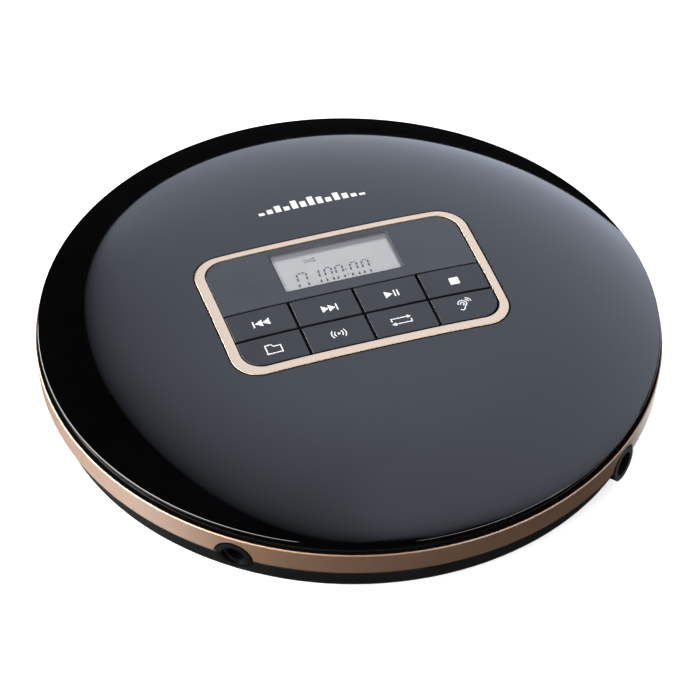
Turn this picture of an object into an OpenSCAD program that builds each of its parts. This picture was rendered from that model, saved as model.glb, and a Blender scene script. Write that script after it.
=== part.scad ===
// Portable disc player: a flat round body with a flip-up domed lid.
// The lid carries the keys and the display.  The body holds the disc drive,
// the main board, the sockets and a bay for two AA cells.
// Millimetres, +Z up, -Y is the front, the hinge is at the back (+Y).
// Origin: centre of the footprint on the table.

/* [Body] */
// Outside radius at the top edge of the trim ring
body_r = 70; // [69.8:0.1:70.2]
// Height of the trim ring's top edge
trim_top = 14.8; // [14.7:0.05:14.9]
// Height of the trim ring's bottom edge
trim_bottom = 9; // [8.95:0.05:9.1]
// Height of the underside above the table
floor_z = 0.8; // [0.8:0.02:0.84]
// Thickness of the bottom case's floor
floor_t = 1.4; // [1.35:0.05:1.4]
// Rubber foot radius
foot_r = 4.5; // [3.5:0.5:4.5]

/* [Lid] */
// Radius of the lid's rim
lid_r = 69.5; // [69.4:0.05:69.6]
// Height of the lid's rim edge
rim_z = 17.3; // [17.25:0.05:17.4]
// Rise of the dome above its rim
dome_h = 9.7; // [9.6:0.1:9.9]
// Flatness of the dome: a higher power is flatter in the middle
dome_power = 3.5; // [3.4:0.05:3.6]
// Wall thickness of the lid
lid_wall = 1.5; // [1.4:0.05:1.5]
// Angle of the deeper finger lip round the front
lip_angle = 112; // [90:2:120]

/* [Key panel] */
// Outside width of the panel's frame
panel_w = 64.2; // [64:0.1:64.4]
// Outside depth of the panel's frame
panel_d = 38.6; // [38.4:0.1:38.8]
// Centre of the panel, measured from the player's middle towards the hinge
panel_y = -0.3; // [-0.5:0.1:0.3]
// Width of the metal frame
frame_w = 2.2; // [2:0.1:2.4]
// Gap between neighbouring keys
key_gap = 0.3; // [0.25:0.05:0.4]
// How far a key goes down
key_travel = 0.4; // [0.3:0.05:0.4]
// Display window, width
window_w = 27.8; // [26:0.2:28]
// Display window, depth
window_d = 12.8; // [12:0.2:13]

/* [Disc drive] */
// Height of the disc's underside
disc_z = 18; // [17.9:0.05:18]
// Radius of the hub that centres the disc
hub_r = 7.35; // [7.3:0.05:7.4]
// Distance of the lens from the spindle at rest
lens_rest = 25; // [24.8:0.1:25]
// Travel of the pickup sled
sled_travel = 31.5; // [30:0.5:31.5]
// Gear module
gear_m = 0.6; // [0.6:0.01:0.6]

/* [Hinge] */
// Distance of the hinge pin behind the centre
hinge_y = 68.2; // [68.15:0.05:68.25]
// Height of the hinge pin
hinge_z = 15.2; // [15.15:0.05:15.25]

/* [Sockets and volume wheel] */
// Direction of the headphone socket
phones_angle = 230.6; // [229:0.2:232]
// Direction of the power socket
power_angle = 310.3; // [309:0.2:312]
// Height of the socket centres
socket_z = 8.7; // [8.6:0.05:8.75]
// Direction of the volume wheel
volume_angle = 45; // [42:1:48]

/* [Hidden] */
$fn = 96;

black = [0.03, 0.03, 0.035];
copper = [0.62, 0.47, 0.37];
rose = [0.84, 0.72, 0.64];
steel = [0.72, 0.73, 0.75];
white = [0.85, 0.86, 0.84];
green = [0.05, 0.22, 0.13];
eps = 0.05;                        // overlap of cuts past a face

// Heights that the pieces share
floor_top = floor_z + floor_t;
case_top = trim_bottom - 0.2;      // bottom case meets the deck
deck_under = 14.4;                 // underside of the disc well's floor
well_floor = 15.5;
deck_wall_top = trim_top + 1.2;    // body wall between trim ring and lid
skirt_z = trim_top + 1.5;          // lid edge at the sides and the back
lip_z = trim_top + 0.55;           // lid edge at the front
well_r = 61.5;
deck_wall_r = body_r - 1.3;        // outside of the deck's wall
deck_inner_r = deck_wall_r - 1.5;
skirt_in = 68.3;                   // inside of the lid's skirt
board_z = 3.4;
board_t = 1.2;
board_r = 62;

// Battery bay, for two AA cells side by side
bay_x = 26.2;
bay_y0 = 21.6;
bay_y1 = 52;
bay_wall = 1;
pad_top = 17.3;
cell_pitch = 14.6;

// Screws, feet and rubber mounts
boss_r_at = 57;
boss_angles = [22, 158, 202, 338];
foot_angles = [35, 145, 215, 325];
damper_at = [[24, 8], [-24, 8], [24, -50], [-24, -50]];

// Drive
plate_z = 6.8;
plate_t = 1.2;
rod_x_at = 13.5;
rod_z = 11.8;
rod_r = 1;
rack_pitch_x = -17.9;
small_teeth = 12;
large_teeth = 36;
pinion_teeth = 12;
small_r = gear_m * small_teeth / 2;
large_r = gear_m * large_teeth / 2;
pinion_r = gear_m * pinion_teeth / 2;
gear_at = [rack_pitch_x - small_r, -30];
pinion_dir = 150;
pinion_at = gear_at + (large_r + pinion_r) * [cos(pinion_dir), sin(pinion_dir)];
pressure = 25;                     // pressure angle of the teeth
backlash = 0.09;

// Key panel
inner_w = panel_w - 2 * frame_w;
inner_d = panel_d - 2 * frame_w + 0.8;
key_w = inner_w / 4;
key_d = inner_d * 0.248;
keys_front = panel_y - inner_d / 2;
keys_back = keys_front + 2 * key_d;
window_at = [-0.2, 9.1];
tray_z = 24.2;                     // ledge that the panel sits on
cap_z = 25.25;                     // underside of the key caps

// ---------------------------------------------------------------- helpers

module block(lo, hi) {
    translate(lo) cube(hi - lo);
}

module at(angle, r = 0, z = 0) {
    rotate([0, 0, angle]) translate([r, 0, z]) children();
}

module rod_x(r, x0, x1) {
    translate([x0, 0, 0]) rotate([0, 90, 0]) cylinder(r = r, h = x1 - x0, $fn = 48);
}

module rod_y(r, y0, y1) {
    translate([0, y0, 0]) rotate([-90, 0, 0]) cylinder(r = r, h = y1 - y0, $fn = 48);
}

module disc(r, z0, z1) {
    translate([0, 0, z0]) cylinder(r = r, h = z1 - z0);
}

module round_rect(w, d, r) {
    square([w - 2 * r, d], center = true);
    square([w, d - 2 * r], center = true);
    for (sx = [-1, 1], sy = [-1, 1])
        translate([sx * (w / 2 - r), sy * (d / 2 - r)]) circle(r = r, $fn = 48);
}

// Height of the lid's outer surface at a radius
function dome_z(r) = rim_z + dome_h * (1 - pow(r / lid_r, dome_power));

function dome_points(dz, r_end, steps = 20) =
    [for (i = [0 : steps]) let (r = r_end * i / steps) [r, dome_z(r) + dz]];

function reversed(list) = [for (i = [len(list) - 1 : -1 : 0]) list[i]];

// Everything under the lid's surface, moved up by dz
module under_dome(dz) {
    rotate_extrude($fn = 128) polygon(concat([[60, 0], [0, 0]], dome_points(dz, 60, 24)));
}

// Involute flank: point on the curve at radius r, for a base circle rb
function involute_angle(rb, r) =
    let (t = sqrt(max(0, pow(r / rb, 2) - 1))) t * 180 / PI - atan(t);

module gear_2d(teeth) {
    pitch_r = gear_m * teeth / 2;
    base_r = pitch_r * cos(pressure);
    tip_r = pitch_r + 0.9 * gear_m;
    root_r = pitch_r - 1.2 * gear_m;
    half = (PI * gear_m / 2 - backlash) / 2 / pitch_r * 180 / PI + involute_angle(base_r, pitch_r);
    start_r = max(base_r, root_r);
    radii = [for (i = [0 : 4]) start_r + (tip_r - start_r) * i / 4];
    flank = [for (r = radii) [r, half - involute_angle(base_r, r)]];
    tooth = concat([[root_r, half + 1]], flank);
    function spot(p, a) = p[0] * [cos(a), sin(a)];
    polygon([for (i = [0 : teeth - 1]) each concat(
        [for (p = tooth) spot(p, 360 * i / teeth - p[1])],
        [for (p = reversed(tooth)) spot(p, 360 * i / teeth + p[1])])]);
}

// ---------------------------------------------------------------- casing

module case_profile() {
    corner = [for (a = [0 : 15 : 90]) [61 + 6.3 * sin(a), floor_z + 2.8 * (1 - cos(a))]];
    inner = [for (a = [90 : -15 : 0]) [60 + 5.8 * sin(a), floor_top + 2.6 * (1 - cos(a))]];
    polygon(concat([[0, floor_z]], corner, [[69.15, 8.3], [69, case_top], [67.3, case_top]],
        inner, [[0, floor_top]]));
}

module bottom_case() {
    color(black) difference() {
        union() {
            rotate_extrude($fn = 128) case_profile();
            for (a = boss_angles) at(a, boss_r_at) disc(3, floor_z + 1, case_top);
            for (p = damper_at) translate(p) disc(1.2, floor_top - eps, 8.9);
            for (x = [-40, 40], y = [-12, 6]) translate([x, y]) disc(2, floor_top - eps, board_z);
        }
        for (a = boss_angles) at(a, boss_r_at) {
            disc(1.2, 0, case_top + eps);
            disc(2.4, 0, 2.1);
        }
        for (a = foot_angles) at(a, 54) disc(foot_r + 0.1, 0, floor_z + 0.4);
        block([-bay_x, bay_y0, 0], [bay_x, bay_y1, floor_top + eps]);
        for (s = [-1, 1]) {
            block([s * 17 - 3.2, bay_y1 - eps, 0], [s * 17 + 3.2, bay_y1 + 2.3, floor_top + eps]);
            translate([s * 17, bay_y1 + 1.4, floor_z + 0.7]) rod_x(0.42, -5.1, 5.1);
        }
        block([-6, bay_y0 - 2.5, 0], [6, bay_y0 + eps, floor_z + 0.8]);
        for (a = [phones_angle, power_angle]) at(a, 60, socket_z) rod_x(4.25, 0, 12);
    }
}

module feet() {
    color([0.06, 0.06, 0.06]) for (a = foot_angles) at(a, 54)
        rotate_extrude($fn = 48)
            polygon([[0, 0], [foot_r - 0.3, 0], [foot_r, 0.3], [foot_r, 1.2], [0, 1.2]]);
}

module case_screws() {
    color(steel) for (a = boss_angles) at(a, boss_r_at) difference() {
        union() {
            disc(2.1, 1, 2.1);
            disc(0.85, 2.1, 13);
        }
        for (q = [0, 90]) rotate([0, 0, q]) block([-1.3, -0.2, 0.9], [1.3, 0.2, 1.6]);
    }
}

module trim_ring() {
    ring_in = deck_wall_r + 0.1;
    edge = 0.25;
    color(copper) difference() {
        rotate_extrude($fn = 128) polygon([[ring_in, trim_bottom], [69.7 - edge, trim_bottom],
            [69.7, trim_bottom + edge], [body_r, trim_top - edge], [body_r - edge, trim_top],
            [ring_in, trim_top]]);
        for (a = [phones_angle, power_angle]) at(a, 60, socket_z) rod_x(4.6, 0, 12);
        at(volume_angle, 63.6) disc(7.5, 9.7, 12.7);
        block([-10.8, 60, 13.3], [10.8, 72, 16]);
    }
}

module deck_profile() {
    polygon([[0, deck_under], [62.8, deck_under], [62.8, 16.3], [63.4, 16.3],
        [67, 14.8], [deck_inner_r, 14.7], [deck_inner_r, case_top], [deck_wall_r, case_top],
        [deck_wall_r, deck_wall_top], [67.2, deck_wall_top], [63.2, 17.6], [well_r, 17.6],
        [well_r, well_floor], [0, well_floor]]);
}

module deck() {
    color(black) difference() {
        union() {
            difference() {
                rotate_extrude($fn = 128) deck_profile();
                disc(18, 14, 16);
                block([-7.5, -61.3, 14], [7.5, -10, 16]);
                block([-27.4, bay_y0 - 1.3, 14], [27.4, bay_y1 + 1.2, 16]);
            }
            difference() {
                block([-28.6, bay_y0 - 2.4, deck_under], [28.6, bay_y1 + 2, pad_top]);
                block([-27.4, bay_y0 - 1.3, 14], [27.4, bay_y1 + 1.2, 16.4]);
            }
            for (a = boss_angles) at(a, boss_r_at) disc(2.6, case_top, deck_under + eps);
            block([-11, 65.2, 11.5], [11, 67.3, 15.8]);
            for (s = [-1, 1]) translate([s * 7.6, hinge_y, hinge_z]) rod_x(1.3, -2.4, 2.4);
        }
        for (a = boss_angles) at(a, boss_r_at) disc(0.9, 8, 13.5);
        for (a = [phones_angle, power_angle]) at(a, 60, socket_z) rod_x(4.25, 0, 12);
        at(volume_angle, 63.6) disc(7.5, 9.7, 12.7);
        // Step down under the lid's finger lip
        rotate([0, 0, 270 - lip_angle / 2 - 0.4]) rotate_extrude(angle = lip_angle + 0.8, $fn = 128)
            polygon([[68, lip_z - 0.3], [72, lip_z - 0.3], [72, 20], [68, 20]]);
        for (a = [250, 290]) at(a) block([64.1, -3.6, 13], [67.05, 3.6, 19]);
        at(165, 65) disc(1.15, 13, 19);
        block([-5.2, 66.6, 13.5], [5.2, 72, 17]);
        translate([0, hinge_y, hinge_z]) rod_x(0.62, -10.1, 10.1);
    }
}

// ---------------------------------------------------------------- electronics

module main_board() {
    color(green) difference() {
        disc(board_r, board_z, board_z + board_t);
        block([-28.4, bay_y0 - 2, 3], [28.4, 70, 5]);
        for (a = boss_angles) at(a, boss_r_at) disc(3.4, 3, 5);
        for (p = damper_at) translate(p) disc(2, 3, 5);
        for (s = [-1, 1]) translate([s * 45, -22]) disc(0.6, 3, 5);
    }
}

module board_chips() {
    top = board_z + board_t;
    color([0.05, 0.05, 0.06]) {
        block([34, -30, top], [46, -18, top + 1.4]);
        block([-48, -8, top], [-38, 2, top + 1.3]);
        block([30, 6, top], [38, 11, top + 1.2]);
        for (i = [0 : 3]) translate([-44 + 5 * i, 14, 0]) disc(1.9, top, top + 1.9);
    }
}

// What lies within the case's sloping side, 0.25 mm proud of it
module near_case_side() {
    rotate_extrude($fn = 128)
        polygon([[0, 3.6], [67.55, 3.6], [69.4, 8.3], [body_r - 0.1, 9.6], [body_r - 0.1, 14], [0, 14]]);
}

module headphone_jack() {
    color(black) difference() {
        union() {
            intersection() {
                at(phones_angle, 0, socket_z) rod_x(4.15, 61.5, body_r);
                near_case_side();
            }
            at(phones_angle, 0, socket_z)
                block([54, -4.4, board_z + board_t - socket_z], [62, 4.4, 4.2]);
        }
        at(phones_angle, 0, socket_z) {
            rod_x(3, 67.9, 71);
            rod_x(2.1, 64.5, 67.95);
            rod_x(1.8, 55, 64.55);
        }
    }
}

module power_jack() {
    color(black) at(power_angle, 0, socket_z) {
        difference() {
            union() {
                rod_x(4.15, 61.5, body_r - 0.1);
                block([54, -4.4, board_z + board_t - socket_z], [62, 4.4, 4.2]);
            }
            rod_x(2.75, 58, 71);
        }
        rod_x(0.8, 57.9, 67.6);
    }
}

module volume_pot() {
    color([0.2, 0.2, 0.22]) at(volume_angle, 63.6) {
        disc(2, board_z + board_t, 9.4);
        disc(1.2, 9.4, 13.6);
        block([-8, -3.6, board_z + board_t], [0, 3.6, 8.2]);
    }
}

module volume_wheel() {
    color(black) at(volume_angle, 63.6, 10) linear_extrude(2.4) difference() {
        circle(r = 7.2);
        circle(r = 1.26, $fn = 48);
        for (a = [0 : 10 : 350]) rotate(a) translate([7.3, 0]) circle(r = 0.4, $fn = 16);
    }
}

module lid_switch() {
    color([0.1, 0.1, 0.11]) at(165) difference() {
        block([63.3, -3, 10.6], [66.7, 3, 14.3]);
        translate([65, 0, 0]) disc(0.95, 11.4, 15);
    }
}

module switch_plunger() {
    color(white) at(165, 65) disc(0.85, 12.4, 17.35);
}

// ---------------------------------------------------------------- battery bay

module battery_tray() {
    color(black) difference() {
        block([-bay_x - bay_wall, bay_y0 - bay_wall, floor_top],
            [bay_x + bay_wall, bay_y1 + bay_wall, 16.2]);
        block([-bay_x, bay_y0, 2], [bay_x, bay_y1, 17]);
    }
}

module contact_plates() {
    mid = (bay_y0 + bay_y1) / 2;
    color(steel) {
        block([bay_x - 0.35, bay_y0 + 1.5, 4], [bay_x, bay_y1 - 1.5, 14]);
        for (s = [-1, 1])
            block([-bay_x, mid + s * cell_pitch / 2 - 5, 4], [-bay_x + 0.35, mid + s * cell_pitch / 2 + 5, 14]);
    }
}

module contact_springs() {
    mid = (bay_y0 + bay_y1) / 2;
    wire = 0.3;
    color(steel) for (s = [-1, 1])
        translate([s * (bay_x - 0.35), mid + s * cell_pitch / 2, 9]) rotate([0, -90 * s, 0]) {
            for (i = [0 : 2]) translate([0, 0, wire + 0.55 * i])
                rotate_extrude($fn = 48) translate([3.6 - 0.7 * i, 0]) circle(r = wire, $fn = 16);
            for (a = [0, 120, 240]) rotate([0, 0, a])
                translate([3.75, 0, 0.1]) rotate([0, -52, 0]) disc(0.18, 0, 2.15, $fn = 16);
        }
}

module battery_door() {
    z0 = floor_z + 0.1;
    color(black) difference() {
        union() {
            block([-bay_x + 0.2, bay_y0 + 0.2, z0], [bay_x - 0.2, bay_y1 - 0.2, z0 + 1]);
            block([-5.8, bay_y0 - 2.3, z0], [5.8, bay_y0 + 1, z0 + 0.6]);
            for (s = [-1, 1]) {
                block([s * 17 - 3, bay_y1 - 0.3, z0], [s * 17 + 3, bay_y1 + 1.4, z0 + 1]);
                translate([s * 17, bay_y1 + 1.4, floor_z + 0.7]) rod_x(0.7, -3, 3);
            }
        }
        for (s = [-1, 1]) translate([s * 17, bay_y1 + 1.4, floor_z + 0.7]) rod_x(0.45, -3.1, 3.1);
        for (i = [0 : 4]) block([-6, bay_y0 + 3 + 1.2 * i, 0], [6, bay_y0 + 3.6 + 1.2 * i, z0 + 0.3]);
    }
}

module door_pins() {
    color(steel) for (s = [-1, 1])
        translate([s * 17, bay_y1 + 1.4, floor_z + 0.7]) rod_x(0.4, -5, 5);
}

// ---------------------------------------------------------------- disc drive

module chassis_2d() {
    difference() {
        union() {
            intersection() {
                translate([-20, -65]) square([40, 81]);
                circle(r = 65.5);
            }
            translate([-42, -37.4]) square([24, 23.4]);
            for (y = [4, -54]) translate([-27, y]) square([54, 8]);
            for (p = damper_at) translate(p) circle(r = 5, $fn = 48);
        }
        translate([-9, -58]) square([18, 42]);
        circle(r = 10.6);
        for (p = damper_at) translate(p) circle(r = 2.35, $fn = 48);
        translate(gear_at) circle(r = 0.81, $fn = 32);
        translate(pinion_at) circle(r = 1.6, $fn = 32);
    }
}

module mech_chassis() {
    top = plate_z + plate_t;
    color([0.13, 0.13, 0.14]) difference() {
        union() {
            translate([0, 0, plate_z]) linear_extrude(plate_t) chassis_2d();
            for (s = [-1, 1], y = [-64.8, -15.9])
                block([s * rod_x_at - 2, y, top - eps], [s * rod_x_at + 2, y + 3.2, 13.9]);
            translate(pinion_at) disc(6.8, top - eps, 12);
        }
        for (s = [-1, 1]) translate([s * rod_x_at, 0, rod_z]) rod_y(rod_r + 0.03, -64.4, -12);
        translate(pinion_at) disc(5.55, 9.9, 15);
        translate(pinion_at) disc(5.2, top, 15);
        translate(gear_at) disc(12, top, 9.7);
    }
}

module dampers() {
    color([0.08, 0.08, 0.08]) for (p = damper_at) translate(p) difference() {
        union() {
            disc(2.3, 5.6, 9.2);
            disc(3.3, 5.6, plate_z);
            disc(3.3, plate_z + plate_t, 9.2);
        }
        disc(1.25, 5, 10);
    }
}

module guide_rods() {
    color(steel) for (s = [-1, 1]) translate([s * rod_x_at, 0, rod_z]) rod_y(rod_r, -64.3, -13);
}

module gear_post() {
    color(steel) translate(gear_at) disc(0.8, plate_z, 11.6);
}

module spindle_motor() {
    color(steel) difference() {
        union() {
            disc(10.5, 5, 12.6);
            disc(12, plate_z + plate_t, plate_z + plate_t + 0.8);
            disc(3, 12.6, 12.9);
        }
        disc(0.8, 6.2, 14);
    }
}

module sled_motor() {
    color(steel) translate(pinion_at) difference() {
        disc(5.5, 9.95, 14.1);
        disc(0.75, 9, 13.2);
    }
}

module turntable() {
    color([0.1, 0.1, 0.11]) difference() {
        union() {
            disc(14.5, disc_z - 1.1, disc_z - 0.2);
            disc(4, 13.3, disc_z - 1);
            rotate_extrude() polygon([[0, disc_z - 0.3], [hub_r, disc_z - 0.3], [hub_r, 19.8],
                [hub_r - 0.5, 20.2], [0, 20.2]]);
        }
        disc(0.77, 13, 17.5);
        for (a = [90, 210, 330]) at(a, hub_r - 0.7, 19.25) sphere(r = 0.78, $fn = 48);
    }
}

module turntable_mat() {
    color([0.2, 0.2, 0.2]) difference() {
        disc(14.2, disc_z - 0.2, disc_z);
        disc(9.5, 17, 19);
    }
}

module clamp_balls() {
    color(steel) for (a = [90, 210, 330]) at(a, hub_r - 0.7, 19.25) sphere(r = 0.75, $fn = 48);
}

module spindle_shaft() {
    color(steel) disc(0.75, 6.5, 17.4);
}

module pickup_sled() {
    y0 = -lens_rest;
    color([0.12, 0.12, 0.13]) difference() {
        union() {
            block([-11, y0 - 7.6, 9.8], [11, y0 + 8.5, 13.9]);
            block([11 - eps, y0 - 1.5, 9.8], [15.9, y0 + 8.5, 13.8]);
            block([-15.9, y0 - 4.6, 9.8], [-11 + eps, y0 + 8.5, 10.6]);
            block([-15.9, y0 + 3.5, 9.8], [-11 + eps, y0 + 8.5, 13.8]);
            block([-6.5, y0 - 4.2, 13.9 - eps], [6.5, y0 + 6.5, 15.4]);
        }
        translate([rod_x_at, 0, rod_z]) rod_y(rod_r + 0.06, y0 - 3, y0 + 10);
        translate([-rod_x_at, 0, rod_z]) rod_y(rod_r + 0.06, y0 + 3, y0 + 10);
        block([-17, y0 + 3, rod_z - rod_r - 0.06], [-rod_x_at, y0 + 10, rod_z + rod_r + 0.06]);
        block([-4.8, y0 - 5, 14], [4.8, y0 + 4.3, 16]);
    }
}

module sled_rack() {
    pitch = PI * gear_m;
    root_x = rack_pitch_x + 1.2 * gear_m;
    tip_x = rack_pitch_x - 0.9 * gear_m;
    half = (pitch / 2 - backlash) / 2;
    root_half = half + 1.2 * gear_m * tan(pressure);
    tip_half = half - 0.9 * gear_m * tan(pressure);
    function tooth(y) = [[root_x, y - root_half], [tip_x, y - tip_half], [tip_x, y + tip_half],
        [root_x, y + root_half]];
    color(white) translate([0, 0, 9.4]) linear_extrude(1.8) polygon(concat(
        [[-15.95, gear_at[1] - 1.6], [root_x, gear_at[1] - 1.6]],
        [for (k = [0 : 17]) each tooth(gear_at[1] + k * pitch)],
        [[root_x, 3.1], [-15.95, 3.1]]));
}

module lens_holder() {
    color([0.05, 0.05, 0.06]) translate([0, -lens_rest, 0]) difference() {
        union() {
            block([-4.5, -4, 14.45], [4.5, 4, 16.1]);
            disc(3.3, 16, 16.5);
        }
        disc(2.1, 14, 17);
    }
}

module lens() {
    color([0.35, 0.3, 0.6]) translate([0, -lens_rest, 0]) intersection() {
        disc(2.07, 15.4, 18);
        translate([0, 0, 13.4]) sphere(r = 3.4);
    }
}

module double_gear() {
    color(white) translate(gear_at) difference() {
        union() {
            translate([0, 0, 8.3]) linear_extrude(0.9) rotate(pinion_dir) gear_2d(large_teeth);
            translate([0, 0, 9.2 - eps]) linear_extrude(2 + eps)
                rotate(180 / small_teeth) gear_2d(small_teeth);
        }
        disc(0.85, 8, 12);
    }
}

module motor_pinion() {
    color(white) translate(pinion_at) {
        translate([0, 0, 8.25]) linear_extrude(1.05)
            rotate(pinion_dir + 180 + 180 / pinion_teeth) gear_2d(pinion_teeth);
        disc(0.7, 8.25, 13);
    }
}

// ---------------------------------------------------------------- lid

module lid_profile() {
    polygon(concat(dome_points(0, lid_r), [[lid_r - 0.25, lip_z], [skirt_in, lip_z],
        [skirt_in, dome_z(skirt_in) - lid_wall]], reversed(dome_points(-lid_wall, 66))));
}

module lid_shell() {
    color(black) difference() {
        union() {
            difference() {
                rotate_extrude($fn = 128) lid_profile();
                // Only the front keeps the deeper lip
                rotate([0, 0, 270 + lip_angle / 2]) rotate_extrude(angle = 360 - lip_angle, $fn = 128)
                    polygon([[67, 12], [72, 12], [72, skirt_z], [67, skirt_z]]);
            }
            intersection() {
                union() {
                    translate([0, panel_y, 23.5]) linear_extrude(3) round_rect(panel_w + 3.2, panel_d + 3.2, 8);
                    for (a = [40, 140, 220, 320]) at(a, 45) disc(2, 21.45, 24.5);
                    at(165, 65) disc(1.1, 17.65, 18.6);
                }
                rotate_extrude($fn = 128) polygon(concat([[lid_r, 0], [0, 0]], dome_points(-0.4, lid_r)));
            }
            translate([0, hinge_y, hinge_z]) rod_x(1.3, -5, 5);
            block([-5, 67.5, hinge_z], [5, 69, 17]);
        }
        translate([0, panel_y, tray_z]) linear_extrude(5) round_rect(panel_w + 0.2, panel_d + 0.2, 6.6);
        translate([0, panel_y, 20]) linear_extrude(9) round_rect(panel_w - 6, panel_d - 6, 4);
        for (a = [40, 140, 220, 320]) at(a, 45) disc(0.75, 21, 23.2);
        translate([0, hinge_y, hinge_z]) rod_x(0.65, -6, 6);
        for (s = [-1, 1]) block([s * 7.9 - 2.9, 66.5, 15], [s * 7.9 + 2.9, 71, 16.8]);
    }
}

// Snap hooks behind the front lip, which catch under the deck's rim
module lid_hooks() {
    color(black) for (a = [250, 290]) {
        intersection() {
            at(a) block([64.6, -3, 12.8], [65.8, 3, 18.5]);
            rotate_extrude($fn = 128)
                polygon(concat([[68, 0], [0, 0]], dome_points(-lid_wall - 0.02, 68)));
        }
        at(a) block([65.75, -3, 12.8], [66.6, 3, 13.6]);
    }
}

module panel_frame() {
    color(rose) intersection() {
        translate([0, panel_y, tray_z]) linear_extrude(4) difference() {
            round_rect(panel_w, panel_d, 6.5);
            round_rect(inner_w, inner_d, 5);
        }
        under_dome(0.2);
    }
}

module panel_plate() {
    color(black) intersection() {
        difference() {
            translate([0, panel_y, tray_z]) linear_extrude(4)
                round_rect(inner_w - 0.15, inner_d - 0.15, 4.9);
            block([-40, -30, tray_z + 0.6], [40, keys_back + key_gap / 2, 30]);
            for (c = [0 : 3], r = [0 : 1]) translate(key_centre(c, r)) disc(1.9, 24, 25, $fn = 48);
            translate(window_at) block([-window_w / 2, -window_d / 2, 24], [window_w / 2, window_d / 2, 28]);
            translate(window_at) block([-16.2, -7.2, 24], [16.2, 7.2, 26.1]);
        }
        under_dome(0);
    }
}

module display_window() {
    color([0.75, 0.78, 0.78, 0.5]) translate([window_at[0], window_at[1], 26.15])
        linear_extrude(0.55) square([window_w - 0.1, window_d - 0.1], center = true);
}

module display_module() {
    color([0.62, 0.66, 0.64]) translate(window_at) {
        block([-15.8, -6.8, 24.3], [15.8, 6.8, 26.1]);
        block([-12, -4, 22.75], [12, 4, 24.3]);
    }
}

function key_centre(column, row) =
    [(column - 1.5) * key_w, keys_front + (row + 0.5) * key_d, 0];

module key(column, row) {
    centre = key_centre(column, row);
    color([0.09, 0.09, 0.1]) {
        intersection() {
            translate(centre) block([-key_w / 2 + key_gap / 2, -key_d / 2 + key_gap / 2, cap_z],
                [key_w / 2 - key_gap / 2, key_d / 2 - key_gap / 2, 28]);
            translate([0, panel_y, cap_z]) linear_extrude(4)
                round_rect(inner_w - key_gap, inner_d - key_gap, 4.8);
            under_dome(0.1);
        }
        translate(centre) disc(1.7, 24.05, cap_z + eps, $fn = 48);
    }
}

module keypad_membrane() {
    color([0.35, 0.36, 0.37]) {
        block([-29.5, keys_front + 0.4, 22.75], [29.5, keys_back - 0.4, 23.2]);
        for (c = [0 : 3], r = [0 : 1]) translate(key_centre(c, r)) disc(1.5, 23.15, 23.6, $fn = 48);
    }
}

module keypad_board() {
    color(green) difference() {
        block([-30, -17.6, 21.7], [30, 17.2, 22.7]);
        for (x = [-28, 28], y = [-15, 15]) translate([x, y]) disc(0.8, 21, 23, $fn = 32);
    }
}

module display_flex() {
    color([0.6, 0.35, 0.1]) translate([-5, 0, 0]) rotate([90, 0, 90]) linear_extrude(10)
        polygon([[16, 21.45], [52.2, 21.45], [60, 18.95], [64, 17.65], [64, 17.85], [60, 19.15],
            [52.3, 21.65], [16, 21.65]]);
}

module lid_liner() {
    color([0.05, 0.05, 0.055]) difference() {
        disc(52, 20.4, 21.4);
        disc(11, 20, 20.95);
        for (a = [40, 140, 220, 320]) at(a, 45) {
            disc(1.9, 20, 21);
            disc(0.85, 20, 22);
        }
    }
}

module liner_screws() {
    color(steel) for (a = [40, 140, 220, 320]) at(a, 45) difference() {
        union() {
            disc(1.7, 20.45, 21);
            disc(0.7, 21, 23.1);
        }
        for (q = [0, 90]) rotate([0, 0, q]) block([-1, -0.15, 20.3], [1, 0.15, 20.75]);
    }
}

module hinge_pin() {
    color(steel) translate([0, hinge_y, hinge_z]) rod_x(0.6, -10, 10);
}

bottom_case();
feet();
case_screws();
trim_ring();
deck();
main_board();
board_chips();
headphone_jack();
power_jack();
battery_tray();
contact_plates();
contact_springs();
battery_door();
door_pins();
mech_chassis();
dampers();
guide_rods();
gear_post();
spindle_motor();
sled_motor();
lid_switch();
switch_plunger();
volume_pot();
volume_wheel();
hinge_pin();
turntable();
turntable_mat();
clamp_balls();
spindle_shaft();
pickup_sled();
sled_rack();
lens_holder();
lens();
double_gear();
motor_pinion();
lid_shell();
lid_hooks();
panel_frame();
panel_plate();
display_window();
display_module();
key(0, 1);  // previous_key
key(1, 1);  // next_key
key(2, 1);  // play_key
key(3, 1);  // stop_key
key(0, 0);  // folder_key
key(1, 0);  // shock_key
key(2, 0);  // mode_key
key(3, 0);  // sound_key
keypad_membrane();
keypad_board();
display_flex();
lid_liner();
liner_screws();
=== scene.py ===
"""Looks for the portable disc player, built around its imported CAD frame.

Shapes are worked out in millimetres and turned into metres when a mesh is made.
"""

import math

import bmesh
import bpy
import numpy as np
from mathutils import Matrix, Vector


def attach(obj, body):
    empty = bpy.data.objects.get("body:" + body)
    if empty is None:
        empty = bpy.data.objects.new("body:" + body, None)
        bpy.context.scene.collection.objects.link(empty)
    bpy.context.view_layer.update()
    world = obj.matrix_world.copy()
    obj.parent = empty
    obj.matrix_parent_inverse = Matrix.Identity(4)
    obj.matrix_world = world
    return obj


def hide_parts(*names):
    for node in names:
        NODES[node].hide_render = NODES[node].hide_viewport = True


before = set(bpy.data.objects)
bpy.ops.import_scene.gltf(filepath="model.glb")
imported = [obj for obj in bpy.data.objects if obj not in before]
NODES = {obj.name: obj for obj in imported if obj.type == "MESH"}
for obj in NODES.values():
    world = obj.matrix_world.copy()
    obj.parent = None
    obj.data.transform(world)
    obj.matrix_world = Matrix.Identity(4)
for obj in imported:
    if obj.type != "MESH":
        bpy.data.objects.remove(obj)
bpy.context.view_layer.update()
MM = 0.001

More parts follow.
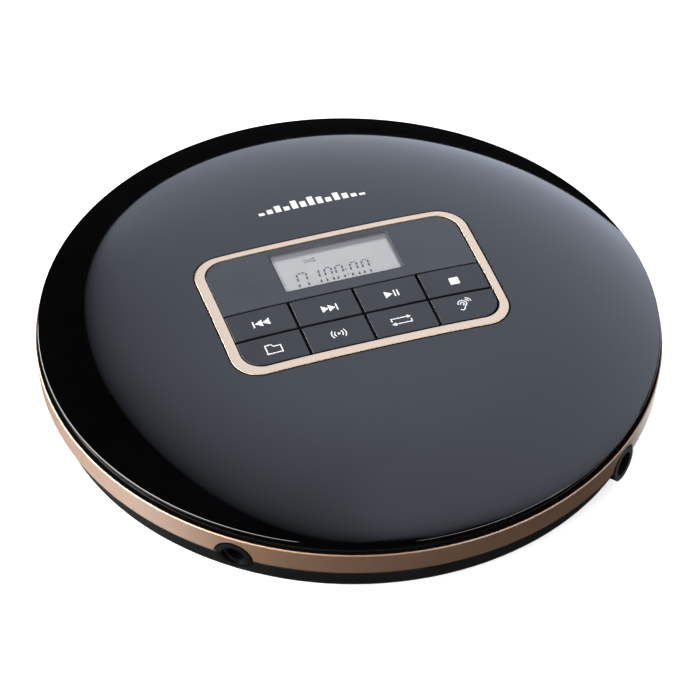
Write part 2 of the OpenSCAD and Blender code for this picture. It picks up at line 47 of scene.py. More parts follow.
# ------------------------------------------------------------------ sizes, in mm, as in the CAD
LID_R, RIM_Z, DOME_H, DOME_POWER, LID_WALL = 69.5, 17.3, 9.7, 3.5, 1.5
SKIRT_IN = 68.3
LIP_Z, SKIRT_Z, HINGE_GAP_Z = 15.35, 16.3, 16.8
LIP_ANGLE = 112
PANEL = (64.2, 38.6)
PANEL_Y = -0.3
INNER = (59.8, 35.0)
TRAY_Z, CAP_Z = 24.2, 25.25
KEY_W, KEY_D, KEY_GAP = 14.95, 8.68, 0.3
KEYS_FRONT, KEYS_BACK = -17.8, -0.44
WINDOW_AT, WINDOW = (-0.2, 9.1), (27.8, 12.8)
DISPLAY_TOP = 26.1
HINGE_Y, HINGE_Z = 68.2, 15.2


def dome_z(r):
    return RIM_Z + DOME_H * (1 - (r / LID_R) ** DOME_POWER)


def dome_normal(x, y):
    r = math.hypot(x, y)
    slope = -DOME_H * DOME_POWER / LID_R * (r / LID_R) ** (DOME_POWER - 1)
    return Vector((-slope * x / r, -slope * y / r, 1)).normalized() if r > 1e-6 else Vector((0, 0, 1))


# ------------------------------------------------------------------ materials

class Nodes:
    """A node tree that is written from left to right."""

    def __init__(self, name):
        self.material = bpy.data.materials.new(name)
        self.material.use_nodes = True
        self.tree = self.material.node_tree
        self.shader = self.tree.nodes["Principled BSDF"]
        self.x = -1600
        self.coord = self.add("ShaderNodeTexCoord").outputs["Object"]

    def add(self, kind, **sockets):
        node = self.tree.nodes.new(kind)
        node.location = (self.x, -len(self.tree.nodes) * 40)
        self.x += 60
        for key, value in sockets.items():
            socket = node.inputs[key.replace("_", " ")]
            if isinstance(value, bpy.types.NodeSocket):
                self.tree.links.new(value, socket)
            else:
                socket.default_value = value
        return node

    def stretched(self, scale):
        node = self.add("ShaderNodeMapping", Vector=self.coord)
        node.inputs["Scale"].default_value = scale
        return node.outputs["Vector"]

    def noise(self, size_mm, detail=3.0, rough=0.5, vector=None):
        """Noise whose lumps are about size_mm across."""
        node = self.add("ShaderNodeTexNoise", Vector=vector or self.coord, Scale=1000 / size_mm,
                        Detail=detail, Roughness=rough)
        return node.outputs["Fac"]

    def ramp(self, value, low, high, start=0.3, end=0.7):
        node = self.add("ShaderNodeMapRange", Value=value)
        for key, v in (("From Min", start), ("From Max", end), ("To Min", low), ("To Max", high)):
            node.inputs[key].default_value = v
        return node.outputs["Result"]

    def blend(self, factor, a, b):
        node = self.add("ShaderNodeMix")
        node.data_type = "RGBA"
        self.link(factor, node.inputs["Factor"])
        for socket, value in ((node.inputs[6], a), (node.inputs[7], b)):
            if isinstance(value, bpy.types.NodeSocket):
                self.link(value, socket)
            else:
                socket.default_value = (*value, 1)
        return node.outputs[2]

    def link(self, a, b):
        self.tree.links.new(a, b)

    def bump(self, height, depth_mm, strength=1.0, normal=None):
        node = self.add("ShaderNodeBump", Height=height, Strength=strength)
        node.inputs["Distance"].default_value = depth_mm * MM
        if normal:
            self.link(normal, node.inputs["Normal"])
        return node.outputs["Normal"]

    def finish(self, color=None, rough=None, normal=None, **constants):
        for value, name in ((color, "Base Color"), (rough, "Roughness"), (normal, "Normal")):
            socket = self.shader.inputs[name]
            if isinstance(value, bpy.types.NodeSocket):
                self.link(value, socket)
            elif value is not None:
                socket.default_value = (*value, 1) if name == "Base Color" else value
        for name, value in constants.items():
            self.shader.inputs[name.replace("_", " ")].default_value = value
        return self.material


def plain(name, color, rough, grain=0.3, depth=0.004, swing=0.06, shade=0.25, cloud=9.0, **constants):
    """A moulded, painted or cast surface: faint clouds in its colour, roughness that drifts, and a grain."""
    n = Nodes(name)
    clouds = n.noise(cloud, 2)
    fine = n.noise(grain, 4, 0.6)
    low = tuple(c * (1 - shade) for c in color)
    high = tuple(min(1.0, c * (1 + shade)) for c in color)
    return n.finish(n.blend(n.ramp(clouds, 0, 1), low, high), n.ramp(fine, rough - swing, rough + swing),
                    n.bump(fine, depth), **constants)


def brushed(name, color, rough, along, depth=0.003, **constants):
    """Metal with fine lines along one axis."""
    n = Nodes(name)
    scale = [1.0, 1.0, 1.0]
    scale[along] = 0.03
    lines = n.noise(0.12, 3, 0.6, n.stretched(scale))
    low = tuple(c * 0.82 for c in color)
    return n.finish(n.blend(n.ramp(lines, 0, 1), low, color), n.ramp(lines, rough - 0.08, rough + 0.1),
                    n.bump(lines, depth), Metallic=1.0, **constants)


def gloss_black():
    """Polished black plastic: a hard shine with a trace of unevenness and polishing haze."""
    n = Nodes("gloss_black")
    haze = n.noise(14, 4, 0.55)
    swirl = n.noise(0.6, 2, 0.5)
    wave = n.noise(6.5, 1, 0.4)
    return n.finish(n.blend(n.ramp(haze, 0, 1), (0.0001, 0.00011, 0.00013), (0.0004, 0.00042, 0.0005)),
                    n.ramp(swirl, 0.03, 0.055), n.bump(wave, 0.0012), IOR=1.5)


def case_black():
    """Matte black moulding with a spark-eroded grain."""
    n = Nodes("case_black")
    grain = n.noise(0.34, 5, 0.65)
    speck = n.noise(0.16, 2, 0.7)
    clouds = n.noise(16, 2)
    base = n.blend(n.ramp(clouds, 0, 1), (0.0012, 0.0013, 0.0016), (0.0035, 0.0037, 0.0042))
    return n.finish(n.blend(n.ramp(speck, 0, 0.3, 0.55, 0.8), base, (0.02, 0.02, 0.023)),
                    n.ramp(grain, 0.28, 0.5), n.bump(grain, 0.07), IOR=1.48)


def metallic_paint(name, color, rough, flake=0.16, metal=1.0, shade_painted_above=None, **constants):
    """Paint with metal flakes, whose tilt scatters the light. Above a height, in mm, it is left off and
    painted near-black: painted shade for the ledge that the lid's edge shades.
    """
    n = Nodes(name)
    flakes = n.add("ShaderNodeTexVoronoi", Vector=n.coord, Scale=1000 / flake).outputs["Color"]
    tone = n.add("ShaderNodeSeparateColor", Color=flakes).outputs["Red"]
    clouds = n.noise(12, 2)
    low = tuple(c * 0.86 for c in color)
    high = tuple(min(1.0, c * 1.1) for c in color)
    base = n.blend(n.ramp(tone, 0, 1, 0, 1), low, high)
    wear_and_painted_shade = n.blend(n.ramp(clouds, 0, 0.25), base, tuple(c * 0.9 for c in color))
    if shade_painted_above:
        # Painted shade: above the height the colour goes near-black and loses its metal and shine, for the
        # ledge in the lid's shade
        height = n.add("ShaderNodeSeparateXYZ", Vector=n.coord).outputs["Z"]
        ledge = shade_painted_above * MM, (shade_painted_above + 0.05) * MM
        wear_and_painted_shade = n.blend(n.ramp(height, 0, 1, *ledge), wear_and_painted_shade, (0.002, 0.002, 0.002))
        for socket, value in (("Metallic", metal), ("Specular IOR Level", 0.5)):
            n.link(n.ramp(height, value, 0, *ledge), n.shader.inputs[socket])
        # The lacquer is thin on the top edge, and the ledge has none
        coat = n.add("ShaderNodeMath")
        coat.operation = "MULTIPLY"
        n.link(n.ramp(height, 1, 0.35, (shade_painted_above - 0.2) * MM, (shade_painted_above - 0.15) * MM), coat.inputs[0])
        n.link(n.ramp(height, 1, 0, *ledge), coat.inputs[1])
        n.link(coat.outputs[0], n.shader.inputs["Coat Weight"])
    return n.finish(wear_and_painted_shade, n.ramp(tone, rough - 0.05, rough + 0.05, 0, 1), n.bump(tone, 0.0012),
                    Metallic=metal, **constants)


def lens_glass():
    """Coated lens: deep violet with a green edge, by where it is on the dome of the lens."""
    n = Nodes("lens_glass")
    axes = n.add("ShaderNodeSeparateXYZ", Vector=n.coord)
    height = n.ramp(axes.outputs["Z"], 0, 1, 0.0161, 0.0168)
    tone = n.blend(height, (0.02, 0.09, 0.06), (0.07, 0.03, 0.2))
    return n.finish(tone, n.ramp(n.noise(2), 0.03, 0.06), IOR=1.7, Coat_Weight=1.0, Coat_Roughness=0.03)


def display_glass():
    """Grey reflective display: cloudy, with the dots of its mirror foil, and painted shade at the back and
    right, where the window's walls shade it.
    """
    n = Nodes("display_glass")
    cloud = n.noise(7, 3)
    dots = n.noise(0.09, 2, 0.6)
    base = n.blend(n.ramp(cloud, 0, 1), (0.236, 0.239, 0.235), (0.262, 0.265, 0.259))
    tone = n.blend(n.ramp(dots, 0, 0.5), base, (0.225, 0.227, 0.222))
    axes = n.add("ShaderNodeSeparateXYZ", Vector=n.coord)
    # Painted shade: the colour darkens towards the back and right edges, for the shade the window's walls
    # cast
    for axis, start, end, edge in (("Y", 12.7, 13.5, (0.1, 0.094, 0.1)),
                                   ("Y", 14.4, 14.6, (0.056, 0.053, 0.057)),
                                   ("X", 12.7, 13.2, (0.075, 0.073, 0.076))):
        tone = n.blend(n.ramp(axes.outputs[axis], 0, 1, start * MM, end * MM), tone, edge)
    return n.finish(tone, n.ramp(dots, 0.34, 0.5), n.bump(dots, 0.001))


def board_green():
    """Solder mask over copper tracks."""
    n = Nodes("board_green")
    bricks = n.add("ShaderNodeTexBrick", Vector=n.coord, Scale=300.0)
    bricks.inputs["Mortar Size"].default_value = 0.03
    tone = n.blend(bricks.outputs["Fac"], (0.008, 0.055, 0.026), (0.02, 0.12, 0.055))
    return n.finish(tone, n.ramp(n.noise(1.5), 0.25, 0.4), n.bump(bricks.outputs["Fac"], 0.03))


LOOKS = {
    "gloss_lid": gloss_black(),
    "black_case": case_black(),
    "inner_black": plain("inner_black", (0.014, 0.014, 0.016), 0.42, grain=0.5, depth=0.006),
    # The trim's ledge above 14.72 mm is painted near-black as painted shade
    "copper_trim": metallic_paint("copper_trim", (0.33, 0.19, 0.112), 0.6, metal=0.95, shade_painted_above=14.72,
                                  Coat_Roughness=0.34, Coat_IOR=2.3),
    "rose_frame": metallic_paint("rose_frame", (0.49, 0.38, 0.285), 0.32, flake=0.1, metal=0.85),
    "socket_black": plain("socket_black", (0.0025, 0.0026, 0.003), 0.22, grain=0.5, depth=0.003,
                          swing=0.04, Specular_IOR_Level=0.25),
    "key_plastic": plain("key_plastic", (0.0045, 0.005, 0.006), 0.34, grain=0.16, depth=0.003, swing=0.04,
                         Specular_IOR_Level=0.36),
    "panel_black": plain("panel_black", (0.006, 0.0065, 0.008), 0.25, grain=0.14, depth=0.0012, swing=0.03),
    "print_white": plain("print_white", (0.42, 0.42, 0.415), 0.45, grain=0.2, depth=0.002, shade=0.04),
    "display": display_glass(),
    "seal_black": plain("seal_black", (0.001, 0.001, 0.001), 0.8, grain=0.3, depth=0.002,
                        Specular_IOR_Level=0.1),
    # Dark grey of the window's rim, partly its own colour and partly painted shade of the window's walls
    "rim_grey_and_shade": plain("rim_grey_and_shade", (0.03, 0.029, 0.032), 0.3, grain=0.2, depth=0.001),
    "segment": plain("segment", (0.03, 0.031, 0.032), 0.5, grain=0.2, depth=0.001, shade=0.1),
    "rubber": plain("rubber", (0.018, 0.018, 0.018), 0.7, grain=0.3, depth=0.015),
    "steel": brushed("steel", (0.62, 0.63, 0.65), 0.26, 1),
    "can_steel": plain("can_steel", (0.58, 0.585, 0.6), 0.32, grain=0.4, depth=0.002, Metallic=1.0),
    "board_green": board_green(),
    "chip": plain("chip", (0.02, 0.02, 0.022), 0.45, grain=0.2, depth=0.004),
    "dark_plastic": plain("dark_plastic", (0.03, 0.03, 0.033), 0.4, grain=0.4, depth=0.006),
    "white_plastic": plain("white_plastic", (0.72, 0.73, 0.69), 0.38, grain=0.5, depth=0.003, shade=0.06,
                           Subsurface_Weight=0.1, Subsurface_Scale=0.001),
    "lens_glass": lens_glass(),
    "silicone": plain("silicone", (0.2, 0.2, 0.21), 0.55, grain=0.5, depth=0.004),
    "flex_amber": plain("flex_amber", (0.42, 0.17, 0.03), 0.25, grain=0.6, depth=0.002),
    "window": plain("window", (0.01, 0.01, 0.011), 0.05, grain=3.0, depth=0.0005, swing=0.015, Alpha=0.07),
}


# ------------------------------------------------------------------ mesh helpers

def make(name, verts, faces, look, body, slot, normals=None, sharp=38, replaces=()):
    """A closed mesh from points in mm, riding on a body. normals gives an exact normal by vertex number."""
    mesh = bpy.data.meshes.new(name)
    mesh.from_pydata([[c * MM for c in v] for v in verts], [], faces)
    mesh.validate()
    return dress(mesh, name, look, body, slot, normals, sharp, replaces)


def dress(mesh, name, look, body, slot, normals=None, sharp=38, replaces=()):
    """Makes a mesh a piece: smooth up to the angle sharp, with a look and a body, in place of CAD nodes."""
    bm = bmesh.new()
    bm.from_mesh(mesh)
    bmesh.ops.recalc_face_normals(bm, faces=bm.faces)
    limit = math.radians(sharp)
    for f in bm.faces:
        f.smooth = True
    for e in bm.edges:
        e.smooth = len(e.link_faces) == 2 and e.calc_face_angle(0) < limit
    bm.to_mesh(mesh)
    bm.free()
    if normals:
        given = [normals.get(i, (0, 0, 0)) for i in range(len(mesh.vertices))]
        mesh.normals_split_custom_set_from_vertices(given)
    obj = bpy.data.objects.new(name, mesh)
    bpy.context.scene.collection.objects.link(obj)
    mesh.materials.append(LOOKS[look])
    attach(obj, body)
    if replaces:
        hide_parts(*replaces)
    return obj


def swept(name, rings, look, body, slot, closed_profile=True, **more):
    """Joins rings of equally many points, one profile point per ring, into a torus or a capped tube."""
    count = len(rings[0])
    verts = [p for ring in rings for p in ring]
    faces = []
    last = len(rings) if closed_profile else len(rings) - 1
    for i in range(last):
        a, b = i * count, (i + 1) % len(rings) * count
        for j in range(count):
            k = (j + 1) % count
            faces.append((a + j, a + k, b + k, b + j))
    if not closed_profile:
        faces.append(tuple(reversed(range(count))))
        faces.append(tuple(range((len(rings) - 1) * count, len(rings) * count)))
    return make(name, verts, faces, look, body, slot, **more)


def lathe(name, profile, look, body, slot, matrix=None, steps=96, **more):
    """A closed profile of (radius, height) turned about Z, then placed by matrix. Radius 0 is one pole."""
    verts, index = [], []
    for r, z in profile:
        if r < 1e-6:
            index.append([len(verts)] * steps)
            verts.append((0, 0, z))
        else:
            index.append(list(range(len(verts), len(verts) + steps)))
            for j in range(steps):
                a = 2 * math.pi * j / steps
                verts.append((r * math.cos(a), r * math.sin(a), z))
    faces = []
    for i in range(len(profile)):
        a, b = index[i], index[(i + 1) % len(profile)]
        for j in range(steps):
            k = (j + 1) % steps
            face = list(dict.fromkeys((a[j], a[k], b[k], b[j])))
            if len(face) > 2:
                faces.append(face)
    if matrix is not None:
        verts = [tuple(matrix @ Vector(v)) for v in verts]
    return make(name, verts, faces, look, body, slot, **more)


def rounded(points, radii, steps=6):
    """A polygon with round corners, counter-clockwise."""
    out = []
    count = len(points)
    for i, (p, r) in enumerate(zip(points, radii)):
        if r <= 0:
            out.append(tuple(p))
            continue
        p = Vector(p)
        to_prev = (Vector(points[i - 1]) - p).normalized()
        to_next = (Vector(points[(i + 1) % count]) - p).normalized()
        half = to_prev.angle(to_next) / 2
        centre = p + (to_prev + to_next).normalized() * (r / math.sin(half))
        start = p + to_prev * (r / math.tan(half)) - centre
        end = p + to_next * (r / math.tan(half)) - centre
        turn = start.angle_signed(end) * -1
        for s in range(steps + 1):
            a = turn * s / steps
            out.append((centre.x + start.x * math.cos(a) - start.y * math.sin(a),
                        centre.y + start.x * math.sin(a) + start.y * math.cos(a)))
    return out


def rectangle(x0, y0, x1, y1, r=0.2, steps=5):
    radii = r if isinstance(r, (list, tuple)) else [r] * 4
    return rounded([(x0, y0), (x1, y0), (x1, y1), (x0, y1)], radii, steps)


def inset(loop, distance):
    """The loop moved to its left by distance, which is inwards when it runs counter-clockwise."""
    out = []
    for i, p in enumerate(loop):
        p = Vector(p)
        before = (p - Vector(loop[i - 1])).normalized()
        after = (Vector(loop[(i + 1) % len(loop)]) - p).normalized()
        n1, n2 = Vector((-before.y, before.x)), Vector((-after.y, after.x))
        n = (n1 + n2) / max(1 + n1.dot(n2), 0.2)
        out.append(tuple(p + n * distance))
    return out


UNDERSIDE = -100.0  # add_slab() marks a slab's underside with this height, and pad() moves it


def add_slab(bm, loops, bevel):
    """A closed slab with its top at 0 and its underside at the mark."""
    rows = [(0.0, None), (0.0, -bevel), (bevel * 0.29, -bevel * 0.29), (bevel, 0.0)]
    lid_edges, floor_edges = [], []
    for loop in loops:
        rings = []
        for distance, depth in rows:
            z = UNDERSIDE if depth is None else depth
            rings.append([bm.verts.new((x, y, z)) for x, y in inset(loop, distance)])
        count = len(loop)
        for a, b in zip(rings, rings[1:]):
            for j in range(count):
                k = (j + 1) % count
                bm.faces.new((a[j], a[k], b[k], b[j]))
        for ring, edges in ((rings[-1], lid_edges), (rings[0], floor_edges)):
            for j in range(count):
                edges.append(bm.edges.get((ring[j], ring[(j + 1) % count])))
    for edges in (lid_edges, floor_edges):
        bmesh.ops.triangle_fill(bm, use_beauty=True, edges=edges)


def pad(name, parts, top, bottom, look, body, slot, bevel=0.15, step=2.5, rides_dome=True, **more):
    """Slabs with bevelled top edges. Each part is a list of loops: its outline runs counter-clockwise and its
    holes clockwise. The top is at height top above the lid's dome, or above 0, and bottom is flat."""
    bm = bmesh.new()
    for loops in parts:
        add_slab(bm, loops, bevel)
    if step:
        xs = [v.co.x for v in bm.verts]
        ys = [v.co.y for v in bm.verts]
        for axis, low, high in ((0, min(xs), max(xs)), (1, min(ys), max(ys))):
            cuts = int((high - low) / step)
            for c in range(1, cuts + 1):
                at = low + (high - low) * c / (cuts + 1)
                point, normal = [0, 0, 0], [0, 0, 0]
                point[axis], normal[axis] = at, 1
                bmesh.ops.bisect_plane(bm, geom=bm.verts[:] + bm.edges[:] + bm.faces[:], plane_co=point,
                                       plane_no=normal, dist=1e-5)
    bmesh.ops.remove_doubles(bm, verts=bm.verts, dist=1e-4)
    bmesh.ops.recalc_face_normals(bm, faces=bm.faces)
    flat = {}
    bm.verts.index_update()
    for v in bm.verts:
        x, y = v.co.x, v.co.y
        if v.co.z < UNDERSIDE / 2:
            v.co.z = bottom
        else:
            if abs(v.co.z) < 1e-6:
                flat[v.index] = dome_normal(x, y) if rides_dome else Vector((0, 0, 1))
            v.co.z += (dome_z(math.hypot(x, y)) if rides_dome else 0) + top
        v.co = v.co * MM
    mesh = bpy.data.meshes.new(name)
    bm.to_mesh(mesh)
    bm.free()
    return dress(mesh, name, look, body, slot, flat, **more)


def box_points(low, high):
    (x0, y0, z0), (x1, y1, z1) = low, high
    return [(x, y, z) for z in (z0, z1) for x, y in ((x0, y0), (x1, y0), (x1, y1), (x0, y1))]


def block(name, low, high, look, body, slot, bevel=0.2, matrix=None, **more):
    """A box with rounded edges."""
    bm = bmesh.new()
    verts = [bm.verts.new(p) for p in box_points(low, high)]
    for f in ((3, 2, 1, 0), (4, 5, 6, 7), (0, 1, 5, 4), (1, 2, 6, 5), (2, 3, 7, 6), (3, 0, 4, 7)):
        bm.faces.new([verts[i] for i in f])
    bmesh.ops.bevel(bm, geom=bm.edges[:], offset=bevel, segments=3, profile=0.5, affect="EDGES")
    for v in bm.verts:
        v.co = (matrix @ v.co if matrix is not None else v.co) * MM
    mesh = bpy.data.meshes.new(name)
    bm.to_mesh(mesh)
    bm.free()
    return dress(mesh, name, look, body, slot, **more)


# ------------------------------------------------------------------ camera

FOCAL_LENGTH, SENSOR, DISTANCE = 189.787, 36, 824.9
ELEVATION, AZIMUTH, ROLL = math.radians(43.33), math.radians(-19.76), math.radians(1.36)
AIM = Vector((0, 0, 14.8))
# How far the view is turned away from the aim
YAW, PITCH = math.radians(-0.0227), math.radians(-0.3574)



def turned(a, b, angle):
    """Two directions at right angles, turned in their own plane."""
    c, s = math.cos(angle), math.sin(angle)
    return a * c + b * s, b * c - a * s


away = Vector((math.sin(AZIMUTH) * math.cos(ELEVATION), -math.cos(AZIMUTH) * math.cos(ELEVATION),
               math.sin(ELEVATION)))
right = (-away).cross(Vector((0, 0, 1))).normalized()
up = right.cross(-away)
right, look = turned(right, -away, YAW)
look, up = turned(look, up, PITCH)
right, up = turned(right, up, ROLL)
lens = bpy.data.cameras.new("camera")
lens.sensor_width = SENSOR
lens.lens = FOCAL_LENGTH
lens.clip_start, lens.clip_end = 0.01, 100
camera = bpy.data.objects.new("camera", lens)
bpy.context.scene.collection.objects.link(camera)
placed = Matrix((right, up, -look)).transposed().to_4x4()
placed.translation = (AIM + away * DISTANCE) * MM
camera.matrix_world = placed
bpy.context.scene.camera = camera
bpy.context.scene.view_settings.view_transform = "Standard"


# ------------------------------------------------------------------ lid

# The metal band round the panel as it shows between its two dark grooves
BAND, BAND_AT, GROOVE = (64.0, 38.75), (0.1, -0.65), 0.36
BAND_IN, BAND_IN_AT = (59.8, 35.1), (0.3, -0.3)
FILLET, FILLET_R, FILLET_Z = 0.5, 68.96, 17.006


def ray_to_rectangle(angle, w, d, r, centre=(0, PANEL_Y)):
    """Where a ray from a rounded rectangle's centre leaves it."""
    c, s = math.cos(angle), math.sin(angle)
    hx, hy = w / 2, d / 2
    t = min(hx / abs(c) if abs(c) > 1e-9 else 1e9, hy / abs(s) if abs(s) > 1e-9 else 1e9)
    x, y = abs(t * c), abs(t * s)
    if x > hx - r and y > hy - r:
        kx, ky = hx - r, hy - r
        b = kx * abs(c) + ky * abs(s)
        t = b + math.sqrt(max(b * b - (kx * kx + ky * ky - r * r), 0))
    return t * c + centre[0], t * s + centre[1]


def lid_angles():
    """Directions of the lid's columns in degrees: closer at the panel's corners and where the edge steps."""
    angles = []
    a = 0.0
    while a < 360 - 1e-9:
        angles.append(a)
        near_corner = min(abs((a % 180) - 30), abs((a % 180) - 150)) < 11
        a += 0.5 if near_corner else 1.0
    for step_at in (81.0, 99.0):
        angles += [step_at - 0.06, step_at + 0.06]
        angles = [x for x in angles if not 0.07 < abs(x - step_at) < 0.3 and abs(x - step_at) > 1e-9]
    for step_at in (270 - LIP_ANGLE / 2, 270 + LIP_ANGLE / 2):
        angles += [step_at + 0.25 * i for i in range(-7, 8) if i % 4]
    return sorted(set(angles))


def edge_height(angle):
    """Height of the lid's lower edge: cut away for the hinge at the back, and deeper round the front."""
    if abs(angle - 90) < 9:
        return HINGE_GAP_Z
    t = min(max((LIP_ANGLE / 2 + 1.5 - abs(angle - 270)) / 3, 0), 1)
    return SKIRT_Z + (LIP_Z - SKIRT_Z) * t * t * (3 - 2 * t)


def build_lid():
    angles = lid_angles()
    rings, normals = [], {}

    def ring(points, exact=None):
        if exact:
            for j, (x, y, _) in enumerate(points):
                normals[len(rings) * len(angles) + j] = exact(x, y)
        rings.append(points)

    def rectangle_ring(w, d, r, z, centre=(0, PANEL_Y)):
        points = [ray_to_rectangle(math.radians(a), w, d, r, centre) for a in angles]
        return [(x, y, z(math.hypot(x, y)) if callable(z) else z) for x, y in points]

    def circle(a, r):
        return r * math.cos(math.radians(a)), r * math.sin(math.radians(a))

    hole = (BAND[0] + 2 * GROOVE, BAND[1] + 2 * GROOVE, 6.5 + GROOVE)
    under = lambda r: dome_z(r) - LID_WALL
    down = lambda x, y: -dome_normal(x, y)
    # the outer surface, from the panel's edge out to the rim
    b = 0.08
    ring(rectangle_ring(*hole, lambda r: dome_z(r) - b, BAND_AT))
    ring(rectangle_ring(hole[0] + 0.6 * b, hole[1] + 0.6 * b, hole[2] + 0.3 * b,
                        lambda r: dome_z(r) - 0.3 * b, BAND_AT))
    ring(rectangle_ring(hole[0] + 2 * b, hole[1] + 2 * b, hole[2] + b, dome_z, BAND_AT), dome_normal)
    shares = [0.01, 0.03, 0.07, 0.13, 0.2, 0.28, 0.36, 0.44, 0.52, 0.6, 0.68, 0.76, 0.84, 0.92]
    first = [(x, y) for x, y, _ in rings[-1]]
    blend_r = 52.0
    for s in shares:
        points = []
        for a, (x, y) in zip(angles, first):
            cx, cy = circle(a, blend_r)
            px, py = x + (cx - x) * s, y + (cy - y) * s
            points.append((px, py, dome_z(math.hypot(px, py))))
        ring(points, dome_normal)
    last = FILLET_R + FILLET * math.cos(math.radians(64))
    for r in list(np.linspace(blend_r, 68.2, 24)) + [68.6, 68.85, 69.03, last]:
        ring([(*circle(a, r), dome_z(r)) for a in angles], dome_normal)
    for phi in np.linspace(56, -7, 9):
        p = math.radians(phi)
        r, z = FILLET_R + FILLET * math.cos(p), FILLET_Z + FILLET * math.sin(p)
        ring([(*circle(a, r), z) for a in angles])
    # down the skirt, round its edge, and up inside
    skirt_r = lambda z: LID_R - 0.25 * (RIM_Z - z) / (RIM_Z - LIP_Z)
    for share in (0.25, 0.6, 0.9):
        points = []
        for a in angles:
            z = 16.93 + (edge_height(a) + 0.12 - 16.93) * share
            points.append((*circle(a, skirt_r(z)), z))
        ring(points)
    for dr, dz in ((0, 0.12), (0.035, 0.035), (0.12, 0)):
        ring([(*circle(a, skirt_r(edge_height(a) + dz) - dr), edge_height(a) + dz) for a in angles])
    for dr, dz in ((0.1, 0), (0.03, 0.03), (0, 0.1)):
        ring([(*circle(a, SKIRT_IN + dr), edge_height(a) + dz) for a in angles])
    ring([(*circle(a, SKIRT_IN), under(SKIRT_IN) - 0.15) for a in angles])
    for r in [68.1] + list(np.linspace(67.4, 44, 24)):
        ring([(*circle(a, r), under(r)) for a in angles], down)
    # the thicker rim that holds the panel
    ring(rectangle_ring(PANEL[0] + 3.4, PANEL[1] + 3.4, 8.1, under), down)
    ring(rectangle_ring(PANEL[0] + 3.2, PANEL[1] + 3.2, 8.0, lambda r: min(under(r), 23.6)))
    ring(rectangle_ring(PANEL[0] + 3.2, PANEL[1] + 3.2, 8.0, 23.5))
    ring(rectangle_ring(PANEL[0] - 6, PANEL[1] - 6, 4.0, 23.5))
    ring(rectangle_ring(PANEL[0] - 6, PANEL[1] - 6, 4.0, TRAY_Z))
    ring(rectangle_ring(*hole, TRAY_Z, BAND_AT))
    swept("lid_top", rings, "gloss_lid", "lid", "gloss_lid", normals=normals, replaces=("lid_shell",))


build_lid()
# The half-round knuckle on the hinge pin, and the web that joins it to the lid
PIN_BORE_R, KNUCKLE_R, KNUCKLE_HALF, KNUCKLE_ROUND = 0.65, 1.3, 5.0, 0.2
corner = [(KNUCKLE_R - KNUCKLE_ROUND * (1 - math.sin(t)), KNUCKLE_HALF - KNUCKLE_ROUND * (1 - math.cos(t)))
          for t in np.linspace(0, math.pi / 2, 4)]
profile = [(PIN_BORE_R, -KNUCKLE_HALF), (PIN_BORE_R, KNUCKLE_HALF), *corner,
           *[(r, -z) for r, z in corner[::-1]]]
lathe("lid_knuckle", profile, "gloss_lid", "lid", "gloss_lid", steps=48,
      matrix=Matrix.Translation((0, HINGE_Y, HINGE_Z)) @ Matrix.Rotation(math.pi / 2, 4, "Y"))
block("lid_web", (-5, 67.5, HINGE_Z + 0.9), (5, 68.95, 16.95), "gloss_lid", "lid", "gloss_lid", bevel=0.15)
# The peg that presses the lid switch's plunger
PEG_RADIUS_AT, PEG_ANGLE = 65, math.radians(165)
peg_at = (PEG_RADIUS_AT * math.cos(PEG_ANGLE), PEG_RADIUS_AT * math.sin(PEG_ANGLE), 0)
lathe("lid_peg", [(0, 17.65), (0.9, 17.65), (1.06, 17.7), (1.1, 17.8), (1.1, 18.3), (0, 18.3)],
      "gloss_lid", "lid", "gloss_lid", steps=32, matrix=Matrix.Translation(peg_at))


# ------------------------------------------------------------------ key panel

CROWN = 0.07  # how far the band's top stands above the dome


def build_frame():
    """The metal ring round the panel: a flat band with rounded shoulders that follows the dome."""
    angles = lid_angles()
    shoulder = 0.13
    # Share of the way in, drop below the crown
    outer_half = [(0, shoulder), (0.01, 0.55 * shoulder), (0.035, 0.16 * shoulder), (0.08, 0.01), (0.3, 0)]
    top = outer_half + [(0.5, -0.01)] + [(0.7, 0), (0.92, 0.01), (0.965, 0.16 * shoulder),
                                         (0.99, 0.55 * shoulder), (1, shoulder)]
    rings = []
    for share, drop in top + [(1, None), (0, None)]:
        w, d = (a + (b - a) * share for a, b in zip(BAND, BAND_IN))
        centre = [a + (b - a) * share for a, b in zip(BAND_AT, BAND_IN_AT)]
        points = [ray_to_rectangle(math.radians(a), w, d, 6.5 - 1.5 * share, centre) for a in angles]
        rings.append([(x, y, TRAY_Z if drop is None else dome_z(math.hypot(x, y)) + CROWN - drop)
                      for x, y in points])
    swept("panel_band", rings, "rose_frame", "lid", "rose_frame", sharp=60, replaces=("panel_frame",))


def around_band(grow):
    """The band's outline made larger all round."""
    (w, d), (x, y) = BAND, BAND_AT
    return rectangle(x - w / 2 - grow, y - d / 2 - grow, x + w / 2 + grow, y + d / 2 + grow, 6.5 + grow, 14)


build_frame()
pad("panel_seal", [[around_band(GROOVE - 0.02), around_band(0.02)[::-1]]], -0.07, TRAY_Z, "seal_black",
    "lid", "panel_black", bevel=0.02)
SHIFT = 0.2  # the keys and the plate sit this much to the right inside the band
half_w, plate_back = INNER[0] / 2 - 0.3, PANEL_Y + INNER[1] / 2 - 0.3
plate_front = PANEL_Y - INNER[1] / 2 + 0.1
plate_split = KEYS_BACK + KEY_GAP / 2
window_box = (WINDOW_AT[0] - WINDOW[0] / 2, WINDOW_AT[1] - WINDOW[1] / 2,
              WINDOW_AT[0] + WINDOW[0] / 2, WINDOW_AT[1] + WINDOW[1] / 2)
CORNER = 4.9  # round corners of the plate
plate = rectangle(SHIFT - half_w, plate_split, SHIFT + half_w, plate_back, [0.1, 0.1, CORNER, CORNER], 12)
pad("panel_plate_top", [[plate, rectangle(*window_box, 0.35)[::-1]]], -0.02, TRAY_Z, "panel_black", "lid",
    "panel_black", bevel=0.12, replaces=("panel_plate",))
